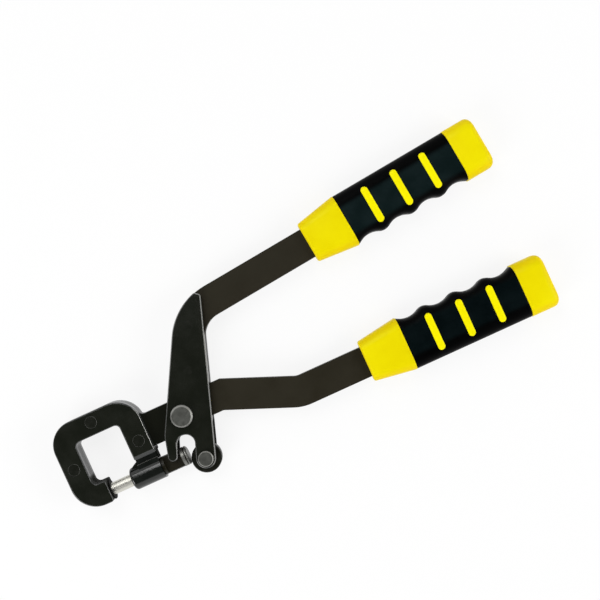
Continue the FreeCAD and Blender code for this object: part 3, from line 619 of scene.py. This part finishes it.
def make_rib_set():
    """The six rib ends that show, trimmed to the grip's outer skin, with eased rims."""
    ribs = make_ribs("ribs", rib_width / 2)
    skin = blank("skin", sleeve_start, sleeve_end, grip_width, grip_thickness)
    round_long_edges(skin, grip_round)
    bpy.ops.object.mode_set(mode="OBJECT")
    cut_with(ribs, skin, "INTERSECT")
    ease = ribs.modifiers.new("ease", "BEVEL")
    ease.width, ease.segments, ease.angle_limit = rib_ease, 3, math.radians(50)
    bpy.ops.object.modifier_apply(modifier="ease")
    bpy.ops.object.shade_smooth_by_angle(angle=math.radians(40))
    return ribs


def make_grip_yellow(name, deep, light, round_shade):
    """Hard plastic, deeper yellow in blotches, painted shade on its rounds, a faint moulding line at
    mid-height.
    """
    finish, tree, shader = new_finish(name, Specular_IOR_Level=0.05)
    skin = add_node(tree, "Group", node_tree=surface_skin)
    skin.inputs["Blotch scale"].default_value = 28.0
    skin.inputs["Tooth scale"].default_value = 1500.0
    yellow = mixed(tree, skin.outputs["Tone"], deep, light)
    # The rounds are painted a deeper orange yellow, as painted shade.
    on_round = band(tree, surface_lean(tree)[1], 0.99, 0.7)
    tree.links.new(mixed(tree, on_round, yellow, round_shade), shader.inputs["Base Color"])
    tree.links.new(scaled(tree, skin.outputs["Tone"], 0.3, 0.38), shader.inputs["Roughness"])
    above_middle = reckon(tree, "SUBTRACT", place_along(tree, "Z"), grip_thickness / 2)
    line = band(tree, reckon(tree, "ABSOLUTE", above_middle), 0.0003, 0.0001)
    height = reckon(tree, "MULTIPLY_ADD", line, 4.0, skin.outputs["Tooth"])
    bump = add_node(tree, "Bump", {"Height": height, "Strength": 0.3, "Distance": 0.00003})
    tree.links.new(bump.outputs["Normal"], shader.inputs["Normal"])
    return finish


between_grips = (0.005, 0.015)
sleeve_middle = 0.001
side_shade_band = (0.0074, 0.0112)


def make_grip_rubber():
    """Soft blue-black rubber with a fine spark-eroded tooth, with painted shade making its sides a deeper
    black.

    The lower sleeve is blacker all over.
    """
    sheen = {"Sheen_Weight": 0.25, "Sheen_Roughness": 0.25}
    finish, tree, shader = new_finish("grip rubber", Specular_IOR_Level=0.03, **sheen)
    tone = skin_on(tree, shader, 90.0, 2200.0, 0.00008, (0.38, 0.48))
    upper = mixed(tree, tone, (0.0030, 0.0078, 0.0080), (0.0052, 0.0112, 0.0118))
    lower = mixed(tree, tone, (0.0006, 0.0024, 0.0028), (0.0016, 0.0044, 0.0050))
    blue_black = mixed(tree, band(tree, place_along(tree, "Y"), *between_grips), lower, upper)
    across = add_node(tree, "Attribute", attribute_name="across").outputs["Fac"]
    from_middle = reckon(tree, "ABSOLUTE", reckon(tree, "SUBTRACT", across, sleeve_middle))
    # Painted shade: the sides are coloured a deeper black.
    painted_side_shade = band(tree, from_middle, *side_shade_band)
    tree.links.new(mixed(tree, painted_side_shade, blue_black, (0.0002, 0.0003, 0.0004)), shader.inputs["Base Color"])
    return finish


grip_yellow = make_grip_yellow(
    "grip yellow", (0.76, 0.63, 0.0004), (0.81, 0.7, 0.0008), (0.79, 0.61, 0.0002)
)
rib_yellow = make_grip_yellow("rib yellow", (0.88, 0.79, 0.001), (0.91, 0.84, 0.002), (0.89, 0.8, 0.001))
grip_rubber = make_grip_rubber()
upper_lean = math.radians(6)


def front_of(node, lean):
    """The middle of a grip's front end, from its CAD solid and the lean of its handle."""
    way, across = Vector((math.cos(lean), math.sin(lean), 0)), Vector((-math.sin(lean), math.cos(lean), 0))
    corners = [vert.co for vert in steel[node].data.vertices]
    along = min(corner.dot(way) for corner in corners)
    sideways = [corner.dot(across) for corner in corners]
    return way * along + across * (min(sideways) + max(sideways)) / 2 + Vector((0, 0, grip_thickness / 2))


def fit(piece, side, body, node, finish, turn):
    """A copy of a grip piece, put on one handle with its place in its mesh."""
    copy = bpy.data.objects.new(f"{side}_{piece.name}", piece.data.copy())
    bpy.context.scene.collection.objects.link(copy)
    place = Matrix.Translation(front_of(f"{side}_grip_core", turn[1]))
    copy.data.transform(place @ Euler((turn[0], 0, turn[1])).to_matrix().to_4x4())
    copy.data.materials.clear()
    copy.data.materials.append(finish)
    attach(copy, body)
    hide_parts(f"{side}_grip_{node}")


grip_pieces = [
    (make_ferrule(), "core", "grip_yellow", grip_yellow),
    (make_end_cap(), "core", "grip_yellow", grip_yellow),
    (make_rib_set(), "core", "grip_yellow", rib_yellow),
    (make_sleeve(), "sleeve", "grip_black", grip_rubber),
]
for piece, node, slot_name, finish in grip_pieces:
    fit(piece, "lower", "frame", node, finish, (0, 0))
    fit(piece, "upper", "lever", node, finish, (math.pi, upper_lean))
    bpy.data.objects.remove(piece)


# ---- Studio ----
# The tool lies on a pale table under three soft lamps, with a pale room round it and a dim ceiling. The
# camera looks straight down, with the punch line rising to the right.

def make_table():
    bpy.ops.object.select_all(action="DESELECT")
    bpy.ops.mesh.primitive_plane_add(size=6)
    table = bpy.context.object
    table.name = "table"
    finish, tree, shader = new_finish("table", Specular_IOR_Level=0.0, Roughness=1.0)
    paper = add_node(tree, "TexNoise", {"Vector": object_place(tree), "Scale": 40.0})
    pale = mixed(tree, paper.outputs["Fac"], (0.88, 0.88, 0.88), (0.9, 0.9, 0.9))
    tree.links.new(pale, shader.inputs["Base Color"])
    glow = add_node(tree, "Emission", {"Color": (1, 1, 1, 1), "Strength": 1.0})
    light_path = add_node(tree, "LightPath")
    looked_at = light_path.outputs["Is Camera Ray"]
    for ray in ("Is Glossy Ray", "Is Transmission Ray"):
        looked_at = reckon(tree, "MAXIMUM", looked_at, light_path.outputs[ray])
    seen = times(tree, looked_at, 0.85)
    both = add_node(tree, "MixShader", {0: seen, 1: shader.outputs[0], 2: glow.outputs[0]})
    tree.links.new(both.outputs[0], tree.nodes["Material Output"].inputs["Surface"])
    table.data.materials.append(finish)


def make_room():
    world = bpy.context.scene.world or bpy.data.worlds.new("room")
    bpy.context.scene.world = world
    world.use_nodes = True
    tree = world.node_tree
    upward = add_node(tree, "SeparateXYZ", {"Vector": add_node(tree, "TexCoord").outputs["Generated"]})
    ceiling = band(tree, upward.outputs["Z"], 0.5, 0.66)
    room_light = mixed(tree, ceiling, (0.95, 0.95, 0.95), (0.06, 0.06, 0.06))
    tree.links.new(room_light, tree.nodes["Background"].inputs["Color"])


middle = (cad_box[0] + cad_box[1]) / 2
lamp_distance = 1.2


def add_lamp(name, way, width, height, power):
    """A soft lamp that faces the middle of the tool."""
    lamp = bpy.data.objects.new(name, bpy.data.lights.new(name, "AREA"))
    lamp.data.shape, lamp.data.size, lamp.data.size_y, lamp.data.energy = "RECTANGLE", width, height, power
    lamp.location = middle + Vector(way).normalized() * lamp_distance
    lamp.rotation_euler = (middle - lamp.location).to_track_quat("-Z", "Y").to_euler()
    bpy.context.scene.collection.objects.link(lamp)


make_table()
make_room()
add_lamp("window_lamp", (-0.12, 0.53, 0.85), 0.5, 0.7, 5.2)
add_lamp("jaw_side_lamp", (-0.75, -0.35, 0.55), 0.6, 0.6, 6.5)
add_lamp("handle_side_lamp", (0.75, -0.35, 0.55), 0.6, 0.6, 6.5)

camera = bpy.data.objects.new("camera", bpy.data.cameras.new("camera"))
camera.data.lens = 55.2
camera.location = (0.0961, 0.0349, 0.585)
camera.rotation_euler = (0, 0, math.radians(-24.5))
bpy.context.scene.collection.objects.link(camera)
bpy.context.scene.camera = camera
bpy.context.scene.view_settings.view_transform = "Standard"
